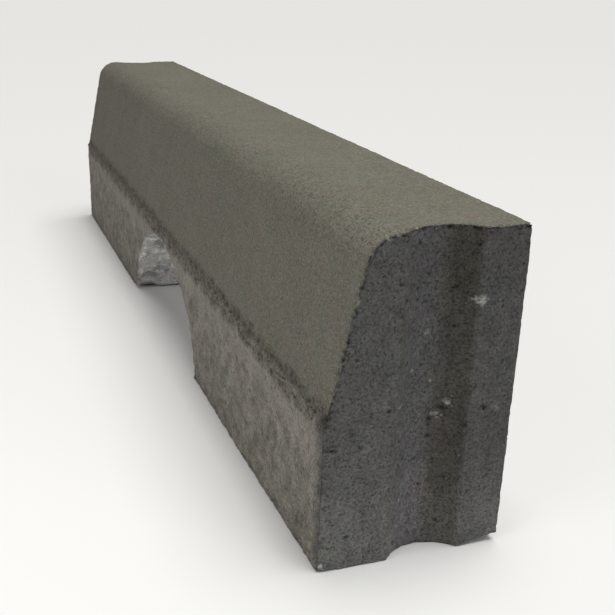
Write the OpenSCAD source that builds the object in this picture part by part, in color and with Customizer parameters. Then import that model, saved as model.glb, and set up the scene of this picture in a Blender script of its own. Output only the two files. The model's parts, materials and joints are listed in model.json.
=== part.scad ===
// Precast concrete edger: a dry-cast kerb block with a battered upper front, a rounded nose,
// a half-round keyway down each end and an arched notch through its foot.
// It is cast in two mixes that bond in the mould: a coarse core and a fine facing on top.
// +X runs along the kerb line, the battered front looks to -Y and +Z is up. The origin is the
// centre of the footprint, on the plane that the block stands on. All sizes are in millimetres.

/* [Block] */
// Length along the kerb line
length = 600; // [500:10:1000]
// Thickness from the vertical front face to the back
width = 83; // [76:1:120]
// Height from the bottom to the top
height = 140; // [130:1:200]

/* [Front profile] */
// Height of the arris, where the vertical front face ends and the batter begins
arris_z = 67; // [62:1:85]
// Width of the small ledge along the arris, left by the edge of the tamper shoe
ledge_w = 1.5; // [0.5:0.5:3]
// How far the batter leans back over the height from the arris to the top
batter_run = 17; // [8:1:22]
// Radius of the nose between the batter and the top
nose_r = 15; // [6:1:18]

/* [End keyways] */
// Diameter of the round former that makes a keyway
key_d = 40; // [32:1:46]
// Depth of a keyway in the end face
key_depth = 8; // [4:1:12]
// Offset of the keyways from the middle of the thickness, towards the back
key_y = 6; // [0:1:8]

/* [Foot notch] */
// Width of the notch at the bottom
notch_w = 168; // [120:2:240]
// Height of the notch at its crown
notch_h = 60; // [30:1:60]
// Offset of the notch from mid-length
notch_x = 13; // [-40:1:40]

/* [Facing mix] */
// Depth of the facing mix under the top
facing_top = 28; // [22:1:40]
// Depth of the facing mix behind the batter
facing_side = 12; // [6:1:16]

/* [Hidden] */
$fn = 96;

// Cutters run this far past the faces that they open
over = 5;

// Front and back planes
front_y = -width / 2;
back_y = width / 2;

// Foot of the batter, and the corner where the batter would meet the top if it had no nose
batter_foot = [front_y + ledge_w, arris_z];
sharp_nose = [front_y + batter_run, height];
batter_len = norm(sharp_nose - batter_foot);
batter_dir = (sharp_nose - batter_foot) / batter_len;

// The nose touches the batter and the top at equal distances from the sharp corner
corner_angle = acos(-batter_dir.x);
nose_reach = nose_r / tan(corner_angle / 2);
nose_low = sharp_nose - nose_reach * batter_dir;
nose_high = sharp_nose + [nose_reach, 0];
nose_centre = nose_high - [0, nose_r];

// The seam between the mixes: inwards from the arris, up beside the batter, back under the top
seam_z = height - facing_top;
seam_foot = batter_foot + [facing_side, 0];
seam_bend = seam_foot + (seam_z - arris_z) * [batter_dir.x / batter_dir.y, 1];

// The keyway former stands outside the end face
key_r = key_d / 2;
key_x = length / 2 + key_r - key_depth;

// Three-centred arch of the notch: two haunches that run smoothly into one flatter crown
haunch_r = 0.75 * notch_h;
haunch_x = notch_w / 2 - haunch_r;
crown_r = (haunch_x ^ 2 + notch_h ^ 2 - haunch_r ^ 2) / (2 * (notch_h - haunch_r));
crown_drop = crown_r - notch_h;

// An outline given as [y, z] points, run along the whole block
module along_kerb(outline) {
    rotate([90, 0, 90])
        linear_extrude(height = length, center = true)
            polygon(outline);
}

// The quarter of a round bar that makes the nose, between its two tangent lines
module nose() {
    intersection() {
        translate([0, nose_centre.x, nose_centre.y])
            rotate([0, 90, 0])
                cylinder(r = nose_r, h = length, center = true);
        along_kerb([nose_centre, nose_low, sharp_nose, nose_high]);
    }
}

// Round formers at both ends, taller than the block
module key_formers() {
    for (side = [-1, 1])
        translate([side * key_x, key_y, -over])
            cylinder(r = key_r, h = height + 2 * over);
}

// A round bar across the block, centred at [x, z] in the front view
module cross_bar(centre, radius) {
    translate([centre.x, 0, centre.y])
        rotate([90, 0, 0])
            cylinder(r = radius, h = width + 2 * over, center = true);
}

// The crown bar, kept between the two lines that run through the haunch centres
module crown() {
    spread = 2 * crown_r / crown_drop;
    intersection() {
        cross_bar([notch_x, -crown_drop], crown_r);
        translate([notch_x, 0, -crown_drop])
            rotate([90, 0, 0])
                linear_extrude(height = width + 2 * over, center = true)
                    polygon([
                        [0, 0],
                        [spread * haunch_x, spread * crown_drop],
                        [-spread * haunch_x, spread * crown_drop]
                    ]);
    }
}

// What the arched former takes out of the foot
module notch_former() {
    for (side = [-1, 1])
        cross_bar([notch_x + side * haunch_x, 0], haunch_r);
    crown();
}

// Coarse base concrete: the foot with its notch, and the body behind the facing
module core_mix() {
    color([0.42, 0.40, 0.37])
        difference() {
            along_kerb([
                [front_y, 0],
                [front_y, arris_z],
                seam_foot,
                seam_bend,
                [back_y, seam_z],
                [back_y, 0]
            ]);
            key_formers();
            notch_former();
        }
}

// Fine facing concrete: the batter, the nose and the top
module facing_mix() {
    color([0.47, 0.46, 0.40])
        difference() {
            union() {
                along_kerb([
                    batter_foot,
                    nose_low,
                    nose_centre,
                    nose_high,
                    [back_y, height],
                    [back_y, seam_z],
                    seam_bend,
                    seam_foot
                ]);
                nose();
            }
            key_formers();
        }
}

core_mix();
facing_mix();
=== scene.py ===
import json
import math

import bpy
import numpy as np
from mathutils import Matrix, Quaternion, Vector
from mathutils.geometry import delaunay_2d_cdt
from mathutils.kdtree import KDTree


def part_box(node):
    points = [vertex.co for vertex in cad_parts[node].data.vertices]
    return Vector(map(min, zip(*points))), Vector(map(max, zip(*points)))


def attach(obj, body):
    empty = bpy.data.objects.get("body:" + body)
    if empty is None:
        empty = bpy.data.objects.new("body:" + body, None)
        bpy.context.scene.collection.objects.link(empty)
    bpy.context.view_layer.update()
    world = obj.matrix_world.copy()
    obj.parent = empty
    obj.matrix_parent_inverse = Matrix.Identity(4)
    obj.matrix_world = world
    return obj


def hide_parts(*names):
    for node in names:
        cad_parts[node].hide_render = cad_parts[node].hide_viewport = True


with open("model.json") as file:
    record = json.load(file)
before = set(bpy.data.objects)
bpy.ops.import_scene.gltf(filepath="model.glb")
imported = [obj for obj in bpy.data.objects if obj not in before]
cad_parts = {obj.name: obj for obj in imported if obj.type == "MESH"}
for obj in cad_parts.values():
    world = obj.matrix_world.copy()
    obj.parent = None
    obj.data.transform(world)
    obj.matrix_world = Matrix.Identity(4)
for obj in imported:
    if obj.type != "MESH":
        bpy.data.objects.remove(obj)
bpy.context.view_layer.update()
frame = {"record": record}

# The looks of a precast concrete edger. Its core and its facing are cut from one grainy skin that
# is built side by side in flat developments, welded, worn and pitted, and then split at the seam
# between the two mixes. Everything is in metres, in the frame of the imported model.
MM = 0.001

# ---------------------------------------------------------------- sizes that the frame gives
core_low, core_high = (np.array(corner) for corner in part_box("core_mix"))
facing_low, facing_high = (np.array(corner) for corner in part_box("facing_mix"))
keyway = next(m for m in frame["record"]["mounts"] if m["name"] == "keyway_right")

HALF = core_high[0]
FRONT = core_low[1]
BACK = core_high[1]
ARRIS = facing_low[2]
SEAM = core_high[2]
TOP = facing_high[2]
KEY_X, KEY_Y = keyway["pos_m"][:2]
KEY_R = keyway["dims"]["r_mm"] * MM

# ---------------------------------------------------------------- sizes that it doesn't give
BATTER_RUN = 17 * MM
NOSE_R = 15 * MM
FACING_SIDE = 12 * MM
NOTCH_W = 168 * MM
NOTCH_H = 60 * MM
NOTCH_X = 13 * MM
HAUNCH_R = 0.75 * NOTCH_H

BATTER_FOOT = np.array([facing_low[1], ARRIS])
SHARP_NOSE = np.array([FRONT + BATTER_RUN, TOP])
HAUNCH_X = NOTCH_W / 2 - HAUNCH_R
CROWN_R = (HAUNCH_X ** 2 + NOTCH_H ** 2 - HAUNCH_R ** 2) / (2 * (NOTCH_H - HAUNCH_R))
CROWN_DROP = CROWN_R - NOTCH_H
FOOT_LEFT = NOTCH_X - NOTCH_W / 2
FOOT_RIGHT = NOTCH_X + NOTCH_W / 2

# Distances between neighbouring points of the skin
END_GAP = {1: 0.6 * MM, -1: 1.6 * MM}
ARCH_GAP = 1.3 * MM
BACK_GAP = 2.6 * MM
BED_GAP = 3 * MM
SEAM_GAP = 8 * MM
# Points are joined where their places agree when rounded to this
WELD = 1e-6
# Distance between rows of the staggered lattice, how loose its points are, and how far they keep
# from the edges, each as a share of the gap
ROW_STEP = 0.866
LOOSENESS = 0.16
CLEARANCE = 0.6

random_draws = np.random.default_rng(7)


# ================================================================ lines of the block
def arc(centre, radius, start, stop, steps=48):
    """Points of a round stretch, from one angle to another."""
    turn = np.linspace(start, stop, steps)
    return np.array(centre) + radius * np.stack([np.cos(turn), np.sin(turn)], axis=1)


def lengths(path):
    """Distance along a path at each of its points."""
    steps = np.linalg.norm(np.diff(path, axis=0), axis=1)
    return np.concatenate([[0], np.cumsum(steps)])


def at_length(path, places):
    """Points of a path at the given distances from its start."""
    own = lengths(path)
    return np.stack([np.interp(places, own, column) for column in path.T], axis=1)


def front_profile():
    """The facing's outline from the foot of the batter over the nose to the back, as (y, z)."""
    batter = (SHARP_NOSE - BATTER_FOOT) / np.linalg.norm(SHARP_NOSE - BATTER_FOOT)
    reach = NOSE_R / math.tan(math.acos(-batter[0]) / 2)
    nose_low = SHARP_NOSE - reach * batter
    centre = SHARP_NOSE + (reach, -NOSE_R)
    start = math.atan2(nose_low[1] - centre[1], nose_low[0] - centre[0])
    nose = arc(centre, NOSE_R, start, math.pi / 2)
    return np.vstack([BATTER_FOOT, nose, (BACK, TOP)])


def seam_profile():
    """The seam between the mixes, in from the arris, up beside the batter and back, as (y, z)."""
    slope = (SHARP_NOSE[0] - BATTER_FOOT[0]) / (TOP - ARRIS)
    foot = BATTER_FOOT + (FACING_SIDE, 0)
    bend = foot + (slope * (SEAM - ARRIS), SEAM - ARRIS)
    return np.vstack([BATTER_FOOT, foot, bend, (BACK, SEAM)])


def arch_outline():
    """The notch's three-centred arch from its left foot to its right foot, as (x, z)."""
    turn = math.atan2(CROWN_DROP, HAUNCH_X)
    left = arc((NOTCH_X - HAUNCH_X, 0), HAUNCH_R, math.pi, math.pi - turn)
    crown = arc((NOTCH_X, -CROWN_DROP), CROWN_R, math.pi - turn, turn)
    right = arc((NOTCH_X + HAUNCH_X, 0), HAUNCH_R, turn, 0)
    return np.vstack([left, crown[1:], right[1:]])


def end_line():
    """The right-hand end in plan, from front to back through its keyway, as (x, y)."""
    half = math.acos((KEY_X - HALF) / KEY_R)
    key = arc((KEY_X, KEY_Y), KEY_R, math.pi + half, math.pi - half)
    return np.vstack([(HALF, FRONT), key, (HALF, BACK)])


PROFILE = front_profile()
SEAM_PATH = seam_profile()
ARCH = arch_outline()
END_LINE = end_line()
KEY_HALF = math.sqrt(KEY_R ** 2 - (KEY_X - HALF) ** 2)


def end_x(y):
    """How far out the end face stands at each y: less inside the keyway."""
    inside = np.maximum(KEY_R ** 2 - (y - KEY_Y) ** 2, 0)
    return np.where(abs(y - KEY_Y) < KEY_HALF, KEY_X - np.sqrt(inside), HALF)


def skin_gap(x):
    """Distance between points of the front and top, finer towards the right-hand end."""
    return np.interp(HALF - x, [0, 0.1, 0.3, 0.6], np.array([0.7, 0.9, 1.3, 1.9]) * MM)


def steady(gap):
    """A spacing that is the same everywhere."""
    return lambda place: gap


def march(start, stop, gap):
    """Places from start to stop, each about gap(place) past the one before."""
    places = [start]
    while places[-1] < stop:
        places.append(places[-1] + gap(places[-1]))
    steps = np.array(places) - start
    return start + steps * (stop - start) / steps[-1]


def points3(x, y, z):
    """Points from three lists of coordinates, any of which may be one number."""
    return np.stack(np.broadcast_arrays(x, y, z), axis=1).astype(float)


# ================================================================ edges of the block
def long_edges():
    """The edges that run along the block, and the outlines of the notch."""
    seen = march(-HALF, HALF, skin_gap)
    hidden = march(-HALF, HALF, steady(BACK_GAP))
    span = lengths(ARCH)[-1]
    arch = at_length(ARCH, march(0, span, steady(ARCH_GAP)))
    across = march(FRONT, BACK, steady(ARCH_GAP))
    left, right = (-HALF, FOOT_LEFT), (FOOT_RIGHT, HALF)
    return {
        "foot": points3(seen, *BATTER_FOOT),
        "arris": points3(seen, FRONT, ARRIS),
        "crest": points3(seen, BACK, TOP),
        "seam_back": points3(hidden, BACK, SEAM),
        "toe-1": points3(march(*left, skin_gap), FRONT, 0),
        "toe1": points3(march(*right, skin_gap), FRONT, 0),
        "heel-1": points3(march(*left, steady(BACK_GAP)), BACK, 0),
        "heel1": points3(march(*right, steady(BACK_GAP)), BACK, 0),
        "arch_front": points3(arch[:, 0], FRONT, arch[:, 1]),
        "arch_back": points3(arch[:, 0], BACK, arch[:, 1]),
        "spring-1": points3(FOOT_LEFT, across, 0),
        "spring1": points3(FOOT_RIGHT, across, 0),
    }


def end_edges(side):
    """The edges of one end face: side is 1 for the right-hand end and -1 for the left-hand one."""
    gap = steady(END_GAP[side])
    rim = at_length(PROFILE, march(0, lengths(PROFILE)[-1], gap))
    seam = at_length(SEAM_PATH, march(0, lengths(SEAM_PATH)[-1], gap))
    sole = at_length(END_LINE, march(0, lengths(END_LINE)[-1], gap))
    ledge = march(FRONT, BATTER_FOOT[0], gap)
    made = {
        "rim": points3(side * end_x(rim[:, 0]), rim[:, 0], rim[:, 1]),
        "seam": points3(side * end_x(seam[:, 0]), seam[:, 0], seam[:, 1]),
        "sole": points3(side * sole[:, 0], sole[:, 1], 0),
        "ledge": points3(side * HALF, ledge, ARRIS),
        "front": points3(side * HALF, FRONT, march(0, ARRIS, gap)),
        "back_low": points3(side * HALF, BACK, march(0, SEAM, gap)),
        "back_high": points3(side * HALF, BACK, march(SEAM, TOP, gap)),
        "key_front": points3(side * HALF, KEY_Y - KEY_HALF, march(0, TOP, gap)),
        "key_back": points3(side * HALF, KEY_Y + KEY_HALF, march(0, TOP, gap)),
    }
    return {f"{name}{side}": edge for name, edge in made.items()}


EDGES = {**long_edges(), **end_edges(1), **end_edges(-1)}


# ================================================================ sides, as flat developments
def joined(edges):
    """Edges chained head to tail into one closed loop, whichever way each was drawn."""
    first, second = edges[0], edges[1]
    ends = second[[0, -1]]
    start_away, stop_away = (np.linalg.norm(ends - tip, axis=1).min() for tip in first[[0, -1]])
    if start_away < stop_away:
        first = first[::-1]
    loop = [first]
    for edge in edges[1:]:
        last = loop[-1][-1]
        backwards = np.linalg.norm(edge[-1] - last) < np.linalg.norm(edge[0] - last)
        loop.append(edge[::-1] if backwards else edge)
    return np.vstack([edge[:-1] for edge in loop])


def lattice(low, high, gap):
    """Staggered points over a flat box, closer together where gap() is smaller."""
    columns = []
    for number, place in enumerate(march(low[0], high[0], lambda a: ROW_STEP * gap(a))):
        step = gap(place)
        rows = np.arange(low[1] + (number % 2) * step / 2, high[1], step)
        loose = random_draws.uniform(-LOOSENESS, LOOSENESS, (len(rows), 2)) * step
        columns.append(np.stack([np.full(len(rows), place), rows], axis=1) + loose)
    return np.vstack(columns)


def clear_of(free, fixed, gap):
    """The free points that keep their distance from the fixed ones."""
    tree = KDTree(len(fixed))
    for number, (a, b) in enumerate(fixed):
        tree.insert((a, b, 0), number)
    tree.balance()
    away = np.array([tree.find((a, b, 0))[2] for a, b in free])
    return free[away > CLEARANCE * np.array([gap(a) for a in free[:, 0]])]


def triangulate(flat, rim_count):
    """Triangles through all the points, inside the loop that the first of them make."""
    loop = list(range(rim_count))
    x, y = flat[:rim_count].T
    if np.sum(x * np.roll(y, -1) - y * np.roll(x, -1)) < 0:
        loop.reverse()
    found = delaunay_2d_cdt([Vector(point) for point in flat], [], [loop], 1, 1e-9)
    triangles, sources = found[2], found[3]
    own = np.array([source[0] for source in sources])
    return own[np.array(triangles)]


def face_normals(points, triangles):
    """Normal of each triangle, as long as twice its area."""
    corners = points[triangles]
    return np.cross(corners[:, 1] - corners[:, 0], corners[:, 2] - corners[:, 0])


def panel(kind, owner, out, loop, gap, flatten, lift, rows=()):
    """One side of the block between its edges, as points and triangles that look outwards."""
    rim = joined([EDGES[name] for name in loop])
    fixed = np.vstack([rim, *rows])
    flat = flatten(fixed)
    free = clear_of(lattice(flat.min(axis=0), flat.max(axis=0), gap), flat, gap)
    triangles = triangulate(np.vstack([flat, free]), len(rim))
    points = np.vstack([fixed, lift(free)])
    if face_normals(points, triangles).sum(axis=0) @ out < 0:
        triangles = triangles[:, ::-1]
    return {"kind": kind, "owner": owner, "points": points, "triangles": triangles}


def skin_panel():
    """Batter, nose and top, unrolled to (x, distance up the profile)."""
    along = lengths(PROFILE)

    def flatten(points):
        return np.stack([points[:, 0], np.interp(points[:, 1], PROFILE[:, 0], along)], axis=1)

    def lift(flat):
        profile = at_length(PROFILE, flat[:, 1])
        return points3(flat[:, 0], profile[:, 0], profile[:, 1])

    loop = ["foot", "rim1", "crest", "rim-1"]
    return panel("skin", "facing", (0, -1, 1), loop, skin_gap, flatten, lift)


def seam_panel():
    """The hidden bond between the mixes, unrolled to (x, distance along the seam)."""
    along = lengths(SEAM_PATH)

    def flatten(points):
        return np.stack([points[:, 0], np.interp(points[:, 1], SEAM_PATH[:, 0], along)], axis=1)

    def lift(flat):
        seam = at_length(SEAM_PATH, flat[:, 1])
        return points3(flat[:, 0], seam[:, 0], seam[:, 1])

    inner = march(-HALF + SEAM_GAP, HALF - SEAM_GAP, steady(SEAM_GAP))
    rows = [points3(inner, *bend) for bend in SEAM_PATH[1:3]]
    loop = ["foot", "seam1", "seam_back", "seam-1"]
    return panel("bond", "both", (0, -1, 1), loop, steady(SEAM_GAP), flatten, lift, rows)


def upright_panel(owner, y, loop, gap):
    """Part of the flat front or back, as (x, z)."""

    def flatten(points):
        return points[:, [0, 2]]

    def lift(flat):
        return points3(flat[:, 0], y, flat[:, 1])

    return panel("wall", owner, (0, y, 0), loop, gap, flatten, lift)


def level_panel(kind, z, out, loop, gap):
    """Part of the bottom, or the ledge, as (x, y)."""

    def flatten(points):
        return points[:, :2]

    def lift(flat):
        return points3(flat[:, 0], flat[:, 1], z)

    return panel(kind, "core", out, loop, gap, flatten, lift)


def arch_panel():
    """The inside of the notch, unrolled to (distance along the arch, y)."""
    along = lengths(ARCH)
    turn = -np.arctan2(ARCH[:, 1], ARCH[:, 0] - NOTCH_X)

    def flatten(points):
        own = -np.arctan2(points[:, 2], points[:, 0] - NOTCH_X)
        return np.stack([np.interp(own, turn, along), points[:, 1]], axis=1)

    def lift(flat):
        arch = at_length(ARCH, flat[:, 0])
        return points3(arch[:, 0], flat[:, 1], arch[:, 1])

    loop = ["arch_front", "spring1", "arch_back", "spring-1"]
    return panel("arch", "core", (0, 0, -1), loop, steady(ARCH_GAP), flatten, lift)


def key_rows(side, low, high):
    """Upright rows of points where the keyway breaks the end face, between two heights."""
    gap = END_GAP[side]
    heights = march(low + gap, high - gap, steady(gap))
    return [points3(side * HALF, KEY_Y + turn * KEY_HALF, heights) for turn in (-1, 1)]


def end_panel(side, owner, loop, low, high):
    """One mix's part of an end face, unrolled through the keyway to (distance across, z)."""
    across = lengths(END_LINE)

    def flatten(points):
        return np.stack([np.interp(points[:, 1], END_LINE[:, 1], across), points[:, 2]], axis=1)

    def lift(flat):
        plan = at_length(END_LINE, flat[:, 0])
        return points3(side * plan[:, 0], plan[:, 1], flat[:, 1])

    names = [f"{name}{side}" for name in loop]
    gap = steady(END_GAP[side])
    rows = key_rows(side, low, high)
    return panel("end", owner, (side, 0, 0), names, gap, flatten, lift, rows)


def all_panels():
    """Every side of the block, and the hidden bond last."""
    front = ["toe-1", "arch_front", "toe1", "front1", "arris", "front-1"]
    back = ["heel-1", "arch_back", "heel1", "back_low1", "seam_back", "back_low-1"]
    strip = ["seam_back", "back_high1", "crest", "back_high-1"]
    ledge = ["arris", "ledge1", "foot", "ledge-1"]
    made = [skin_panel(), arch_panel()]
    made.append(upright_panel("core", FRONT, front, skin_gap))
    made.append(upright_panel("core", BACK, back, steady(BACK_GAP)))
    made.append(upright_panel("facing", BACK, strip, steady(BACK_GAP)))
    made.append(level_panel("ledge", ARRIS, (0, 0, 1), ledge, skin_gap))
    for side in (1, -1):
        bed = [f"toe{side}", f"spring{side}", f"heel{side}", f"sole{side}"]
        made.append(level_panel("bed", 0, (0, 0, -1), bed, steady(BED_GAP)))
        core = ["sole", "front", "ledge", "seam", "back_low"]
        made.append(end_panel(side, "core", core, 0, SEAM))
        made.append(end_panel(side, "facing", ["seam", "rim", "back_high"], SEAM, TOP))
    made.append(seam_panel())
    return made


def welded(panels):
    """One list of points for all the panels, with each panel's triangles renumbered to it."""
    starts = np.cumsum([0] + [len(p["points"]) for p in panels])
    points = np.vstack([p["points"] for p in panels])
    keys = np.round(points / WELD).astype(np.int64)
    _, first, place = np.unique(keys, axis=0, return_index=True, return_inverse=True)
    place = place.ravel()
    return points[first], [place[p["triangles"] + start] for p, start in zip(panels, starts)]


def vertex_normals(points, triangles):
    """Outward direction at each point, averaged over the triangles that meet there."""
    faces = face_normals(points, triangles)
    total = np.zeros_like(points)
    for corner in range(3):
        np.add.at(total, triangles[:, corner], faces)
    return total / np.maximum(np.linalg.norm(total, axis=1, keepdims=True), 1e-12)


def evened(directions, triangles, turns):
    """Directions averaged with their neighbours', so that they swing smoothly round an edge."""
    first, second = np.vstack([triangles[:, [0, 1]], triangles[:, [1, 2]], triangles[:, [2, 0]]]).T
    count = len(directions)
    met = np.bincount(first, minlength=count) + np.bincount(second, minlength=count)
    neighbours = np.maximum(met, 1)[:, None]
    for _ in range(turns):
        total = np.empty_like(directions)
        for axis, part in enumerate(directions.T):
            ahead = np.bincount(first, part[second], count)
            behind = np.bincount(second, part[first], count)
            total[:, axis] = ahead + behind
        directions = (directions + total / neighbours) / 2
    return directions / np.maximum(np.linalg.norm(directions, axis=1, keepdims=True), 1e-12)


# ================================================================ noise
def scattered(cells, seed):
    """A fixed pseudo-random number from 0 to 1 for each row of whole numbers."""
    mixed = (cells * np.array([73856093, 19349663, 83492791])).sum(axis=-1) + seed * 362437
    mixed = (mixed & 0xFFFFFFFF).astype(np.uint64)
    for shift in (15, 13):
        mixed = ((mixed ^ (mixed >> np.uint64(shift))) * np.uint64(2246822519)) & np.uint64(0xFFFFFFFF)
    mixed ^= mixed >> np.uint64(16)
    return mixed / float(0xFFFFFFFF)


def smooth_noise(places, size, seed):
    """Noise from -1 to 1 in lumps of the given size, which may be one number or one for each axis."""
    spot = places / size
    corner = np.floor(spot).astype(np.int64)
    part = spot - corner
    part = part * part * (3 - 2 * part)
    total = np.zeros(len(places))
    for step in np.ndindex(2, 2, 2):
        share = np.prod(np.where(step, part, 1 - part), axis=1)
        total += share * scattered(corner + step, seed)
    return 2 * total - 1


def layered_noise(places, size, seed, layers=3):
    """Smooth noise with finer and weaker layers over it."""
    size = np.array(size, float)
    total = np.zeros(len(places))
    for layer in range(layers):
        total += smooth_noise(places, size / 2 ** layer, seed + layer) / 2 ** layer
    return total


def grains(places, size, seed):
    """For scattered grains: distance to the nearest as a share of size, and its own random number."""
    spot = places / size
    corner = np.floor(spot).astype(np.int64)
    nearest = np.full(len(places), 9.0)
    own = np.zeros(len(places))
    for step in np.ndindex(3, 3, 3):
        cell = corner + np.array(step) - 1
        middle = cell + np.stack([scattered(cell, seed + axis) for axis in range(3)], axis=1)
        distance = np.linalg.norm(spot - middle, axis=1)
        closer = distance < nearest
        nearest[closer] = distance[closer]
        own[closer] = scattered(cell[closer], seed + 3)
    return nearest, own


def grains_where(weight, places, size, seed):
    """The same, worked out only where a weight isn't zero."""
    nearest = np.full(len(places), 9.0)
    own = np.zeros(len(places))
    here = weight > 0.01
    nearest[here], own[here] = grains(places[here], size, seed)
    return nearest, own


def bowl(distance, radius):
    """1 in the middle of a round spot, falling to 0 at its radius."""
    return np.clip(1 - (distance / np.maximum(radius, 1e-9)) ** 2, 0, 1)


def fade(value, start, stop):
    """0 at start, 1 at stop and smooth between them."""
    share = np.clip((value - start) / (stop - start), 0, 1)
    return share * share * (3 - 2 * share)


# ================================================================ relief of the skin
# Depth of the lumps (about 8 mm across) and of the grain (about 2 mm) on each kind of side
LUMPS = {
    "skin": 0.06 * MM,
    "wall": 0.18 * MM,
    "end": 0.14 * MM,
    "bed": 0.25 * MM,
    "arch": 0.6 * MM,
    "ledge": 0.12 * MM,
}
GRAIN = {
    "skin": 0.05 * MM,
    "wall": 0.10 * MM,
    "end": 0.11 * MM,
    "bed": 0.20 * MM,
    "arch": 0.20 * MM,
    "ledge": 0.15 * MM,
}
# Depth of the long waves that the mould leaves
WAVE = 0.2 * MM
# Depth of the open holes, and how far the bare stones stand out
HOLE_DEPTH = 1.2 * MM
STONE_RISE = 0.25 * MM
# How much is knocked off the near back corner of the foot and off the toe beside the notch, and
# how high up that reaches
BACK_CORNER_LOST = 3.7 * MM
TOE_LOST = 3.0 * MM
CORNER_HEIGHT = 14 * MM
# Size of the pits along the arris, in x, y and z
BAND_GRAIN = np.array([3.4, 1.8, 1.8]) * MM
# How far the inner corner of the ledge is filled, and how far the fill reaches
LEDGE_FILL = 0.8 * MM
LEDGE_FILL_REACH = 1.6 * MM
# How many times the directions of the wear are averaged with their neighbours'
NORMAL_TURNS = 16

# Worn edges: names, how far the wear reaches, how deep it goes, how much of it is even, how dark its
# chips are painted, as shade in them
WORN_EDGES = [
    (["rim1"], 2.4 * MM, 1.9 * MM, 0.15, 1.0),
    (["rim-1"], 2.2 * MM, 1.0 * MM, 0.3, 0.8),
    (["arris"], 2.6 * MM, 1.3 * MM, 0.4, 0.5),
    (["crest"], 1.4 * MM, 0.4 * MM, 0.5, 0.3),
    (["front1", "front-1"], 3.2 * MM, 1.5 * MM, 0.5, 0.6),
    (["back_low1", "back_low-1", "back_high1", "back_high-1"], 1.8 * MM, 0.4 * MM, 0.5, 0.4),
    (["sole1", "sole-1", "toe1", "toe-1", "heel1", "heel-1"], 2.2 * MM, 0.6 * MM, 0.4, 0.5),
    (["arch_front", "arch_back", "spring1", "spring-1"], 3.0 * MM, 1.5 * MM, 0.2, 0.5),
    (["key_front1", "key_front-1"], 1.8 * MM, 0.4 * MM, 0.8, 0.2),
    (["key_back1", "key_back-1"], 1.2 * MM, 0.3 * MM, 0.7, 0.2),
]

# Light bits of stone that lie bare on the right-hand end: (y, z, radius, how light)
BARE_STONES = [
    (22.6 * MM, 111 * MM, 2.6 * MM, 1.0),
    (4.2 * MM, 97 * MM, 1.2 * MM, 0.5),
    (-1.3 * MM, 82 * MM, 0.9 * MM, 0.5),
    (-7.6 * MM, 69 * MM, 1.2 * MM, 0.4),
    (-11 * MM, 76 * MM, 0.9 * MM, 0.4),
    (7.5 * MM, 76 * MM, 0.8 * MM, 0.5),
    (14.9 * MM, 66.3 * MM, 1.5 * MM, 0.7),
    (10.7 * MM, 61.3 * MM, 1.7 * MM, 0.6),
    (33.8 * MM, 64 * MM, 2.4 * MM, 0.25),
    (-39.3 * MM, 2.8 * MM, 1.2 * MM, 0.7),
]

# Open holes in the right-hand end: (y, z, half width, half height)
OPEN_HOLES = [
    (14.2 * MM, 115 * MM, 1.0 * MM, 0.8 * MM),
    (28.7 * MM, 65 * MM, 1.0 * MM, 1.0 * MM),
    (8.5 * MM, 51 * MM, 1.1 * MM, 0.8 * MM),
    (-36.6 * MM, 55 * MM, 2.0 * MM, 0.7 * MM),
    (12.8 * MM, 64 * MM, 2.2 * MM, 0.9 * MM),
    (8.2 * MM, 59 * MM, 1.0 * MM, 1.4 * MM),
]


def distance_to(points, edges):
    """How far each point is from the nearest of some edges."""
    dense = []
    for edge in edges:
        span = lengths(edge)[-1]
        dense.append(at_length(edge, np.arange(0, span, 0.4 * MM)))
    dense = np.vstack(dense)
    tree = KDTree(len(dense))
    for number, point in enumerate(dense):
        tree.insert(point, number)
    tree.balance()
    return np.array([tree.find(point)[2] for point in points])


def edge_wear(points):
    """Depth lost along the edges, and how torn each point is, from 0 to 1."""
    depth = np.zeros(len(points))
    torn = np.zeros(len(points))
    middle, draw = grains(points, 2.3 * MM, seed=31)
    crumb = fade(draw, 0.3, 0.9) * (0.35 + 0.65 * bowl(middle, 0.75))
    patch = 0.75 + 0.35 * smooth_noise(points, 14 * MM, seed=35)
    for names, reach, most, even, dark in WORN_EDGES:
        near = np.exp(-(distance_to(points, [EDGES[name] for name in names]) / reach) ** 2)
        depth = np.maximum(depth, near * most * (even + (1 - even) * crumb * patch))
        torn = np.maximum(torn, near * crumb * patch * dark)
    return depth, torn


def marks(points, places, weight):
    """How much of a listed spot each point of the right-hand end is in, ragged at its outline."""
    total = np.zeros(len(points))
    ragged = 1 + 0.7 * smooth_noise(points, 1.1 * MM, seed=77)
    for y, z, wide, high, strength in places:
        away = np.hypot((points[:, 1] - y) / wide, (points[:, 2] - z) / high)
        total = np.maximum(total, strength * bowl(away * ragged, 1))
    return total * (points[:, 0] > HALF - 12 * MM) * weight


def base_relief(points, kinds):
    """Depth of the mould's waves, the lumps and the grain."""
    lumps = sum(kinds[kind] * depth for kind, depth in LUMPS.items())
    grain = sum(kinds[kind] * depth for kind, depth in GRAIN.items())
    depth = WAVE * (0.5 + 0.5 * layered_noise(points, 65 * MM, seed=1))
    depth += lumps * (0.5 + layered_noise(points, 8 * MM, seed=11))
    depth += grain * (0.5 + layered_noise(points, 2.2 * MM, seed=21, layers=2))
    drag = smooth_noise(points, np.array([6, 6, 14]) * MM, seed=66)
    return depth + kinds["wall"] * 0.10 * MM * (0.5 + drag)


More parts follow.
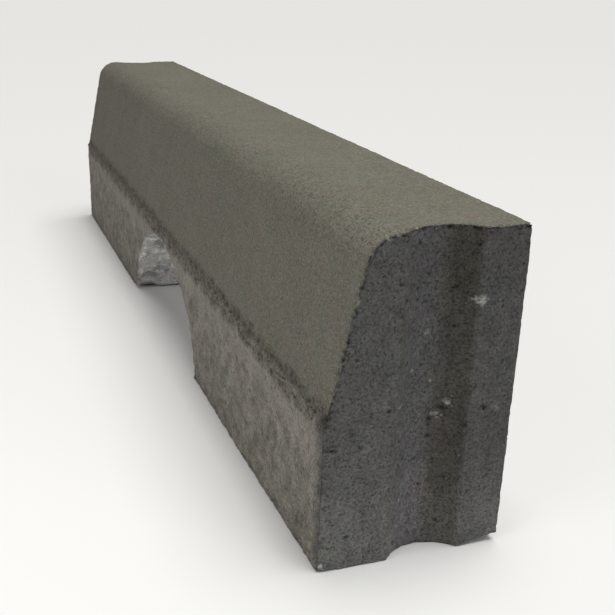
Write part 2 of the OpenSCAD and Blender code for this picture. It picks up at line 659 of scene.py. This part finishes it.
def open_pores(points, kinds):
    """Depth of the pores, small and large on the ends and drawn out on the walls, and how dark their
    painted shade is.
    """
    share = kinds["end"] * (0.55 + 0.45 * fade(points[:, 2], SEAM, ARRIS)) + 0.6 * kinds["bed"]
    small, draw = grains_where(share, points, 3.0 * MM, seed=41)
    small_pit = bowl(small, 0.16 + 0.16 * draw) * (draw < 0.55 * share)
    large, draw = grains_where(share, points, 7.0 * MM, seed=51)
    large_pit = bowl(large, 0.13 + 0.12 * draw) * (draw < 0.5 * share)
    drawn, draw = grains_where(kinds["wall"], points, np.array([6.0, 4.0, 5.0]) * MM, seed=61)
    wall_pit = bowl(drawn, 0.25 + 0.25 * draw) * (draw < 0.6) * kinds["wall"]
    depth = 0.55 * MM * small_pit + 0.9 * MM * large_pit + 0.5 * MM * wall_pit
    return depth, np.maximum.reduce([small_pit, large_pit, 0.7 * wall_pit])


def arris_band(points, kinds):
    """The ragged zone along the arris, left open by the tamper's edge: depth, extent and pits."""
    up = points[:, 2] - ARRIS + 2.2 * MM * layered_noise(points, 7 * MM, seed=71, layers=2)
    above = kinds["skin"] * (1 - fade(up, 2.0 * MM, 7.0 * MM))
    below = kinds["wall"] * (points[:, 1] < 0) * fade(up, -7.0 * MM, -3.5 * MM)
    band = above + below + kinds["ledge"]
    loose, draw = grains_where(band, points, BAND_GRAIN, seed=72)
    torn = band * bowl(loose, 0.35 + 0.35 * draw) * (draw > 0.4)
    filled = LEDGE_FILL * np.exp(-(distance_to(points, [EDGES["foot"]]) / LEDGE_FILL_REACH) ** 2)
    return 0.2 * MM * band + 0.8 * MM * torn - filled, band, torn


def notch_stones(points, kinds):
    """The torn inside of the notch: depth round the stones that stand out, the stones, the gaps."""
    apart, draw = grains_where(kinds["arch"], points, 7.0 * MM, seed=81)
    edge = 0.5 + 0.12 * smooth_noise(points, 2 * MM, seed=84)
    stone = kinds["arch"] * fade(apart / edge, 1.0, 0.6) * (draw > 0.3)
    gaps = kinds["arch"] * (1 - stone) * fade(layered_noise(points, 5 * MM, seed=87), 0.05, 0.6)
    return kinds["arch"] * 0.6 * MM * (1 - stone) + 0.6 * MM * gaps, stone, gaps


def relief(points, kinds):
    """How far in each point lies from the mould's faces, and what the finish needs to know."""
    lost, torn_edge = edge_wear(points)
    pore_depth, pores = open_pores(points, kinds)
    band_depth, band, torn = arris_band(points, kinds)
    stone_depth, stone, gaps = notch_stones(points, kinds)
    stones = [(y, z, radius, radius, light) for y, z, radius, light in BARE_STONES]
    bare = marks(points, stones, 1)
    hole = marks(points, [(*place, 1) for place in OPEN_HOLES], kinds["end"])
    depth = base_relief(points, kinds) + lost + pore_depth + band_depth + stone_depth
    depth += HOLE_DEPTH * hole - STONE_RISE * bare
    # Pits, pores, holes, chips and the gaps between stones are darkened: painted shade in these hollows
    painted_hollow_shade = np.maximum.reduce([fade(torn_edge, 0.15, 0.6), pores, torn, 0.9 * gaps])
    painted_hollow_shade = np.maximum(painted_hollow_shade * (1 - bare), hole)
    return depth, {"painted_hollow_shade": painted_hollow_shade, "band": band, "stone": stone, "bare": bare}


def broken_corners(points):
    """Lifts the foot of the block where its corners are knocked off."""
    x, y, z = points.T
    towards_back = np.clip((y - 22 * MM) / (BACK - 22 * MM), 0, 1)
    back_corner = BACK_CORNER_LOST * towards_back * fade(x, HALF - 45 * MM, HALF)
    toe = TOE_LOST * fade(x, FOOT_LEFT - 30 * MM, FOOT_LEFT) * fade(y, FRONT + 25 * MM, FRONT)
    toe = toe * (x < FOOT_LEFT + 2 * MM)
    low = np.clip(1 - z / CORNER_HEIGHT, 0, 1)
    lifted = points.copy()
    lifted[:, 2] += (back_corner + toe) * low
    return lifted


# ================================================================ pieces
def keyway_painted_light_and_shade(points, on_end):
    """Painted shade on a keyway's back half, lighter towards the foot as by light from the floor, and
    painted bluish light on its front half.
    """
    y, z = points[:, 1], points[:, 2]
    drift = 0.85 + 0.15 * smooth_noise(points, np.array([30, 12, 45]) * MM, seed=91)
    past = fade(y, KEY_Y + KEY_HALF + 0.8 * MM, KEY_Y + KEY_HALF - 2.2 * MM)
    warm = on_end * fade(y, KEY_Y - 1 * MM, KEY_Y + 8 * MM) * past * drift
    before = fade(y, KEY_Y - KEY_HALF - 2 * MM, KEY_Y - KEY_HALF + 8 * MM)
    cool = on_end * fade(y, KEY_Y + 4 * MM, KEY_Y - 6 * MM) * before * drift
    return warm * (0.7 + 0.3 * fade(z, 10 * MM, 40 * MM)), cool


def end_tone(points, on_end):
    """Where the end's own colour shows, wandering to both sides of the rim, and the rim itself."""
    rim = distance_to(points, [EDGES["rim1"], EDGES["rim-1"]])
    inwards = rim * np.sign(on_end - 0.5)
    wander = 1.5 * MM * layered_noise(points, 2.6 * MM, seed=93, layers=2)
    tone = fade(inwards + wander * np.exp(-(rim / (4 * MM)) ** 2), -0.35 * MM, 0.35 * MM)
    corner = distance_to(points, [EDGES["front1"], EDGES["front-1"]])
    creep = 9 * MM + 4 * MM * layered_noise(points, 7 * MM, seed=97, layers=2)
    tone = np.maximum(tone, 0.75 * (1 - fade(corner / creep, 0.1, 1.0)))
    return tone, np.exp(-(rim / (1.9 * MM)) ** 2)


def end_dust(points, on_end):
    """Painted light from the floor on an end: stronger towards the foot, and weaker behind the keyway."""
    y, z = points[:, 1], points[:, 2]
    dust = 0.35 * fade(z, 130 * MM, 80 * MM) + 1.3 * fade(z, 50 * MM, 8 * MM)
    behind = fade(y, KEY_Y + KEY_HALF - 1 * MM, KEY_Y + KEY_HALF + 2 * MM)
    return on_end * (dust - 0.35 * behind)


def smooth_strip(points, on_front):
    """The closed strip of the lower front, a little under the arris."""
    z = points[:, 2]
    ragged = 2 * MM * smooth_noise(points, 10 * MM, seed=95)
    foot = fade(z + ragged, ARRIS - 18 * MM, ARRIS - 13 * MM)
    return on_front * foot * fade(z, ARRIS - 5 * MM, ARRIS - 8 * MM)


def facing_share(points, kinds):
    """Where the outer faces show the facing: all the skin, and the back down to a ragged seam."""
    wander = 4 * MM * layered_noise(points, 16 * MM, seed=98)
    above = fade(points[:, 2] + wander, SEAM - 1.5 * MM, SEAM + 1.5 * MM)
    return kinds["skin"] + kinds["wall"] * above


def finish_data(points, kinds, features):
    """Per-point values that the materials read."""
    x, y, _ = points.T
    nose_start, nose_stop = PROFILE[1][0], PROFILE[-2][0]
    # The keyway's painted shade and painted bluish light
    warm, cool = keyway_painted_light_and_shade(points, kinds["end"] * (x > 0))
    tone, rim = end_tone(points, kinds["end"])
    strip = smooth_strip(points, kinds["wall"] * (y < 0))
    nose = fade(y, nose_start - 2 * MM, nose_start + 2 * MM)
    nose = kinds["skin"] * nose * fade(y, nose_stop + 12 * MM, nose_stop)
    grainy = 0.35 * kinds["skin"] + 0.5 * nose + 0.7 * kinds["wall"] * (1 - 0.8 * strip)
    grainy = grainy + kinds["end"] + kinds["arch"] + kinds["bed"] + kinds["ledge"]
    slope = kinds["skin"] * (1 - fade(y, nose_start - 1 * MM, nose_stop))
    values = dict(features)
    values.update(end=tone, rim=rim, arch=kinds["arch"], wall=kinds["wall"], warm=warm, cool=cool)
    # The end's lightening towards the foot is painted light from the floor
    values.update(strip=strip, open=grainy, dust=end_dust(points, kinds["end"]), slope=slope)
    values.update(facing_part=facing_share(points, kinds))
    return values


def make_piece(name, points, normals, triangles, values, material):
    """A mesh of some of the skin's triangles, with its own copy of the points and their values."""
    used, place = np.unique(triangles, return_inverse=True)
    mesh = bpy.data.meshes.new(name)
    mesh.from_pydata(points[used].tolist(), [], place.reshape(-1, 3).tolist())
    for value_name, value in values.items():
        attribute = mesh.attributes.new(value_name, "FLOAT", "POINT")
        attribute.data.foreach_set("value", value[used].astype(np.float32))
    mesh.shade_smooth()
    mesh.normals_split_custom_set_from_vertices(normals[used])
    mesh.materials.append(material)
    piece = bpy.data.objects.new(name, mesh)
    bpy.context.scene.collection.objects.link(piece)
    return piece


def build_block(core_material, facing_material):
    """Both mixes as closed pieces that share their worn skin along the seam."""
    panels = all_panels()
    points, triangles = welded(panels)
    kinds = {}
    for kind in list(LUMPS):
        kinds[kind] = np.zeros(len(points))
    for side, faces in zip(panels[:-1], triangles[:-1]):
        kinds[side["kind"]][faces.ravel()] = 1
    total = np.maximum(sum(kinds.values()), 1)
    kinds = {kind: weight / total for kind, weight in kinds.items()}

    shown = np.vstack(triangles[:-1])
    depth, features = relief(points, kinds)
    inwards = -evened(vertex_normals(points, shown), shown, NORMAL_TURNS)
    worn = broken_corners(points + inwards * depth[:, None])
    normals = vertex_normals(worn, shown)
    values = finish_data(points, kinds, features)
    bond = triangles[-1]
    made = []
    for owner, turned, material in (("core", 1, core_material), ("facing", -1, facing_material)):
        own = [faces for side, faces in zip(panels, triangles) if side["owner"] == owner]
        closed = np.vstack(own + [bond[:, ::turned]])
        made.append(make_piece(f"{owner}_skin", worn, normals, closed, values, material))
    return made


# ================================================================ materials
def add_node(tree, kind, inputs=None, **settings):
    """A shader node with its settings, and each input as a value or another node's output."""
    made = tree.nodes.new("ShaderNode" + kind)
    for name, value in settings.items():
        setattr(made, name, value)
    for name, value in (inputs or {}).items():
        socket = made.inputs[name]
        if isinstance(value, bpy.types.NodeSocket):
            tree.links.new(value, socket)
        else:
            socket.default_value = value
    return made


def calculate(tree, operation, first, second=0.0):
    """One arithmetic step on two values."""
    return add_node(tree, "Math", {0: first, 1: second}, operation=operation).outputs[0]


def scaled(tree, value, low, high, to_low, to_high):
    """A value taken from one range to another, and held inside it."""
    inputs = {"Value": value, "From Min": low, "From Max": high, "To Min": to_low, "To Max": to_high}
    return add_node(tree, "MapRange", inputs).outputs[0]


def noise(tree, place, size, detail=2.0):
    """Noise from 0 to 1 in lumps of the given size."""
    inputs = {"Vector": place, "Scale": 1 / size, "Detail": detail, "Roughness": 0.6}
    return add_node(tree, "TexNoise", inputs).outputs["Fac"]


def spots(tree, place, size, radius, share):
    """1 inside scattered round spots. Only that share of the cells, of the given size, has one."""
    cell = add_node(tree, "TexVoronoi", {"Vector": place, "Scale": 1 / size})
    draw = add_node(tree, "SeparateColor", {"Color": cell.outputs["Color"]}).outputs[0]
    chosen = calculate(tree, "LESS_THAN", draw, share)
    round_spot = scaled(tree, cell.outputs["Distance"], radius, 0.6 * radius, 0.0, 1.0)
    return calculate(tree, "MULTIPLY", chosen, round_spot)


def sand(tree, place, size):
    """A random value from 0 to 1 for each grain of the given size."""
    cell = add_node(tree, "TexVoronoi", {"Vector": place, "Scale": 1 / size})
    return add_node(tree, "SeparateColor", {"Color": cell.outputs["Color"]}).outputs[1]


def blend(tree, amount, first, second):
    """Colour that goes from the first to the second as amount goes from 0 to 1."""
    made = add_node(tree, "Mix", data_type="RGBA")
    for name, value in (("Factor_Float", amount), ("A_Color", first), ("B_Color", second)):
        socket = next(s for s in made.inputs if s.identifier == name)
        if isinstance(value, bpy.types.NodeSocket):
            tree.links.new(value, socket)
        else:
            socket.default_value = value
    return next(s for s in made.outputs if s.identifier == "Result_Color")


def blend_value(tree, amount, first, second):
    """Value that goes from the first to the second as amount goes from 0 to 1."""
    rise = calculate(tree, "SUBTRACT", second, first)
    return add_node(tree, "Math", {0: rise, 1: amount, 2: first}, operation="MULTIPLY_ADD").outputs[0]


def attribute(tree, name):
    """A value that each point of the mesh carries."""
    return add_node(tree, "Attribute", attribute_name=name).outputs["Fac"]


def darkened(tree, shade, mask, amount):
    """A shade multiplied down by amount where a mask is 1."""
    factor = calculate(tree, "SUBTRACT", 1.0, calculate(tree, "MULTIPLY", mask, amount))
    return calculate(tree, "MULTIPLY", shade, factor)


def base_colour(tree, look):
    """The mix's own colour on each kind of side, with the keyway's painted shade and painted bluish
    light, the notch's partly painted light, and the bare stones.
    """
    face = blend(tree, attribute(tree, "facing_part"), CORE_FACE, FACING_FACE)
    colour = blend(tree, attribute(tree, "end"), face, look["end"])
    colour = blend(tree, attribute(tree, "arch"), colour, look["arch"])
    # Painted shade on the keyway's back half, painted bluish light on its front half
    colour = blend(tree, attribute(tree, "warm"), colour, look["warm"])
    colour = blend(tree, attribute(tree, "cool"), colour, look["cool"])
    colour = blend(tree, attribute(tree, "stone"), colour, look["stone"])
    return blend(tree, attribute(tree, "bare"), colour, look["bare"])


def varied(tree, source, share, low=0.25, high=0.75):
    """A factor round 1 from a noise, that much up or down."""
    return scaled(tree, source, low, high, 1 - share, 1 + share)


def product(tree, factors):
    """All the factors multiplied."""
    total = factors[0]
    for factor in factors[1:]:
        total = calculate(tree, "MULTIPLY", total, factor)
    return total


def variation(tree, place, upright, sandy, gritty, look):
    """A factor round 1: blotches, mottling, sand and grit, patches on the ends, streaks on walls."""
    patchy = varied(tree, noise(tree, place, 5 * MM, detail=3), 0.16)
    streak = varied(tree, noise(tree, upright, 4 * MM, detail=5), look["streaks"])
    drawn = calculate(tree, "SUBTRACT", attribute(tree, "wall"), attribute(tree, "strip"))
    return product(tree, [
        varied(tree, noise(tree, place, 45 * MM, detail=3), look["blotch"]),
        varied(tree, noise(tree, place, 9 * MM, detail=3), look["mottle"]),
        varied(tree, sandy, look["grain"], 0, 1),
        varied(tree, gritty, look["fine"]),
        blend_value(tree, attribute(tree, "end"), 1.0, patchy),
        blend_value(tree, drawn, 1.0, streak),
    ])


def fine_pores(tree, place, upright):
    """Where the finest pores are: round ones on every open part, and drawn-out ones on the walls."""
    open_part = attribute(tree, "open")
    pores = scaled(tree, noise(tree, place, 1.2 * MM, detail=3), 0.46, 0.33, 0, 1)
    drawn = scaled(tree, noise(tree, upright, 2.2 * MM, detail=3), 0.40, 0.32, 0, 1)
    pores = calculate(tree, "MULTIPLY", pores, open_part)
    return pores, product(tree, [drawn, attribute(tree, "wall"), open_part])


def loose_parts(tree, place):
    """How loose the rim and the arris band are, and the crumbs missing from them."""
    crumbly = scaled(tree, noise(tree, place, 1.7 * MM, detail=2), 0.50, 0.40, 0, 1)
    band = calculate(tree, "MULTIPLY", attribute(tree, "band"), 0.45)
    loose = calculate(tree, "MAXIMUM", attribute(tree, "rim"), band)
    return loose, calculate(tree, "MULTIPLY", crumbly, loose)


def tinted(tree, place, loose, look):
    """The base colour with its light grains and chips, drifting between two hues."""
    light = spots(tree, place, 3.1 * MM, radius=0.22, share=look["light_grains"])
    light = calculate(tree, "MULTIPLY", light, 0.35)
    chips = calculate(tree, "MULTIPLY", spots(tree, place, 2.0 * MM, radius=0.3, share=0.16), loose)
    light = calculate(tree, "MAXIMUM", light, calculate(tree, "MULTIPLY", chips, 0.5))
    colour = blend(tree, light, base_colour(tree, look), look["bare"])
    drift = scaled(tree, noise(tree, place, 16 * MM, detail=3), 0.32, 0.68, 0, 1)
    hue = blend(tree, drift, look["greener"], look["pinker"])
    return add_node(tree, "VectorMath", {0: colour, 1: hue}, operation="MULTIPLY").outputs[0]


def concrete(name, look):
    """Dry-cast concrete: a base colour with painted shade and light in the keyway and the notch, under
    blotches, sand, open pores and light grains.
    """
    material = bpy.data.materials.new(name)
    material.use_nodes = True
    tree = material.node_tree
    shader = tree.nodes["Principled BSDF"]
    place = add_node(tree, "TexCoord").outputs["Object"]
    upright = add_node(tree, "VectorMath", {0: place, 1: DRAWN_OUT}, operation="MULTIPLY").outputs[0]
    sandy = sand(tree, place, look["grain_size"])
    gritty = noise(tree, place, 0.8 * MM, detail=3)
    pores, drawn_pores = fine_pores(tree, place, upright)
    loose, crumbs = loose_parts(tree, place)

    shade = variation(tree, place, upright, sandy, gritty, look)
    # Pores, dark specks and crumb holes are darkened: painted shade in hollows too small for the mesh
    shade = darkened(tree, shade, pores, look["pores"])
    shade = darkened(tree, shade, drawn_pores, look["pores"])
    shade = darkened(tree, shade, spots(tree, place, 4.5 * MM, radius=0.16, share=0.45), PORE_SPECK_SHADE)
    shade = darkened(tree, shade, crumbs, CRUMB_HOLE_SHADE)
    for value_name, amount in DARKER.items():
        shade = darkened(tree, shade, attribute(tree, value_name), amount)
    colour = tinted(tree, place, loose, look)
    colour = add_node(tree, "VectorMath", {0: colour, "Scale": shade}, operation="SCALE").outputs[0]
    tree.links.new(colour, shader.inputs["Base Color"])

    rough = scaled(tree, noise(tree, place, 2 * MM), 0.3, 0.7, 0.86, 0.98)
    tree.links.new(rough, shader.inputs["Roughness"])
    shader.inputs["Specular IOR Level"].default_value = 0.15

    height = calculate(tree, "SUBTRACT", gritty, calculate(tree, "ADD", pores, drawn_pores))
    height = calculate(tree, "SUBTRACT", height, crumbs)
    height = calculate(tree, "ADD", height, calculate(tree, "MULTIPLY", sandy, 0.4))
    bump = add_node(tree, "Bump", {"Height": height, "Strength": 1.0, "Distance": look["bump"]})
    tree.links.new(bump.outputs[0], shader.inputs["Normal"])
    return material


# How much darker each value that the points carry makes the surface. Below 0 it is lighter. The hollows
# and the arris band are darkened as painted shade in their pits, and the end's lightening towards the
# foot is painted light from the floor.
DARKER = {"painted_hollow_shade": 0.5, "band": 0.18, "slope": 0.05, "strip": -0.06, "dust": -0.42}
# Painted shade in the dark specks and in the crumb holes
PORE_SPECK_SHADE = 0.35
CRUMB_HOLE_SHADE = 0.6
# The walls' noise is scaled by this in x, y and z, so that it is drawn out along and up
DRAWN_OUT = (0.5, 1, 0.55)

# The outer faces' own colour in each mix
CORE_FACE = (0.240, 0.222, 0.197, 1)
FACING_FACE = (0.170, 0.164, 0.134, 1)

# The looks of each mix: its colours, how strong its variations, pores and light grains are, the
# size of its grains and the depth of its bumps
FACING_LOOK = {
    "end": (0.091, 0.0895, 0.086, 1),
    "arch": (0.168, 0.163, 0.140, 1),
    # The keyway's back half: painted shade. Its front half: painted bluish light
    "warm": (0.052, 0.049, 0.040, 1),
    "cool": (0.090, 0.087, 0.090, 1),
    "stone": (0.30, 0.30, 0.29, 1),
    "bare": (0.33, 0.33, 0.31, 1),
    "greener": (0.96, 1.01, 0.96, 1),
    "pinker": (1.04, 0.99, 1.04, 1),
    "blotch": 0.06,
    "mottle": 0.05,
    "streaks": 0.12,
    "grain": 0.22,
    "grain_size": 0.7 * MM,
    "fine": 0.24,
    "pores": 0.5,
    "light_grains": 0.02,
    "bump": 0.22 * MM,
}

CORE_LOOK = {
    "end": (0.094, 0.092, 0.089, 1),
    # The notch's torn face and its stones are far lighter than the outer faces: partly their own lighter
    # tone, partly painted light, as of light reaching the notch from behind
    "arch": (0.59, 0.575, 0.56, 1),
    # The keyway's back half: painted shade. Its front half: painted bluish light
    "warm": (0.056, 0.053, 0.044, 1),
    "cool": (0.100, 0.097, 0.101, 1),
    "stone": (0.80, 0.80, 0.81, 1),
    "bare": (0.34, 0.34, 0.32, 1),
    "greener": (0.965, 1.01, 0.965, 1),
    "pinker": (1.03, 0.99, 1.02, 1),
    "blotch": 0.08,
    "mottle": 0.15,
    "streaks": 0.38,
    "grain": 0.20,
    "grain_size": 0.8 * MM,
    "fine": 0.24,
    "pores": 0.42,
    "light_grains": 0.05,
    "bump": 0.28 * MM,
}


def floor_material():
    """Plain pale matt floor."""
    material = bpy.data.materials.new("pale_floor")
    material.use_nodes = True
    shader = material.node_tree.nodes["Principled BSDF"]
    shader.inputs["Base Color"].default_value = (0.82, 0.82, 0.82, 1)
    shader.inputs["Roughness"].default_value = 0.9
    shader.inputs["Specular IOR Level"].default_value = 0.1
    return material


# ================================================================ studio
# Where the camera stands, how far round and down it looks, its tilt (all in degrees), its lens in
# millimetres and its shift in shares of the frame
CAMERA_PLACE = (0.5989, -0.1640, 0.2302)
CAMERA_AZIMUTH = 70.13
CAMERA_DROP = 21.82
CAMERA_ROLL = 1.41
CAMERA_LENS = 55.93
CAMERA_SHIFT = (0.032, 0.055)
FLOOR_SIZE = 40
# Light that the sky gives, and how bright it looks behind the block
SKY_STRENGTH = 0.15
BACKDROP_STRENGTH = 0.88
# Lights: kind, place that it shines from towards the block, power, size (an angle for the sun), colour
LIGHTS = {
    "key_light": ("SUN", (0, 0.25, 1.5), 2.65, 0.8, (1, 0.99, 0.95)),
    "front_light": ("AREA", (0.45, -0.6, 0.45), 1.15, 0.5, (1, 0.99, 0.97)),
    "end_light": ("AREA", (1.6, 0.7, 0.9), 4.8, 1.0, (0.96, 0.97, 1)),
}


def add_camera():
    """A camera that sees the block as from its right-hand end, over the front."""
    data = bpy.data.cameras.new("camera")
    data.lens = CAMERA_LENS
    data.shift_x, data.shift_y = CAMERA_SHIFT
    data.clip_start = 0.01
    camera = bpy.data.objects.new("camera", data)
    around, down = math.radians(CAMERA_AZIMUTH), math.radians(CAMERA_DROP)
    level = math.cos(down)
    back = Vector((math.sin(around) * level, -math.cos(around) * level, math.sin(down)))
    camera.rotation_mode = "QUATERNION"
    roll = Quaternion((0, 0, 1), math.radians(CAMERA_ROLL))
    camera.rotation_quaternion = back.to_track_quat("Z", "Y") @ roll
    camera.location = CAMERA_PLACE
    bpy.context.scene.collection.objects.link(camera)
    bpy.context.scene.camera = camera


def add_floor():
    """The plane that the block stands on."""
    half = FLOOR_SIZE / 2
    mesh = bpy.data.meshes.new("floor")
    corners = [(-half, -half, 0), (half, -half, 0), (half, half, 0), (-half, half, 0)]
    mesh.from_pydata(corners, [], [(0, 1, 2, 3)])
    mesh.materials.append(floor_material())
    floor = bpy.data.objects.new("floor", mesh)
    bpy.context.scene.collection.objects.link(floor)


def add_world():
    """A dim sky, which the camera sees as a pale backdrop that runs on from the floor."""
    world = bpy.data.worlds.new("studio")
    world.use_nodes = True
    tree = world.node_tree
    seen = add_node(tree, "LightPath").outputs["Is Camera Ray"]
    strength = blend_value(tree, seen, SKY_STRENGTH, BACKDROP_STRENGTH)
    background = tree.nodes["Background"]
    background.inputs["Color"].default_value = (1, 1, 1, 1)
    tree.links.new(strength, background.inputs["Strength"])
    bpy.context.scene.world = world


def add_light(name, kind, place, power, size, colour):
    """A soft light that points at the middle of the footprint and that the camera doesn't see."""
    light = bpy.data.lights.new(name, kind)
    light.energy = power
    light.color = colour
    if kind == "SUN":
        light.angle = size
    else:
        light.shape = "DISK"
        light.size = size
    lamp = bpy.data.objects.new(name, light)
    lamp.location = place
    lamp.rotation_euler = (-Vector(place)).to_track_quat("-Z", "Y").to_euler()
    lamp.visible_camera = False
    bpy.context.scene.collection.objects.link(lamp)


bpy.context.scene.view_settings.view_transform = "Standard"
add_camera()
add_floor()
add_world()
for light_name, facts in LIGHTS.items():
    add_light(light_name, *facts)

core, facing = build_block(concrete("core_concrete", CORE_LOOK), concrete("facing_concrete", FACING_LOOK))
for piece, node, slot in ((core, "core_mix", "core_concrete"), (facing, "facing_mix", "facing_concrete")):
    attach(piece, "root")
    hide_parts(node)
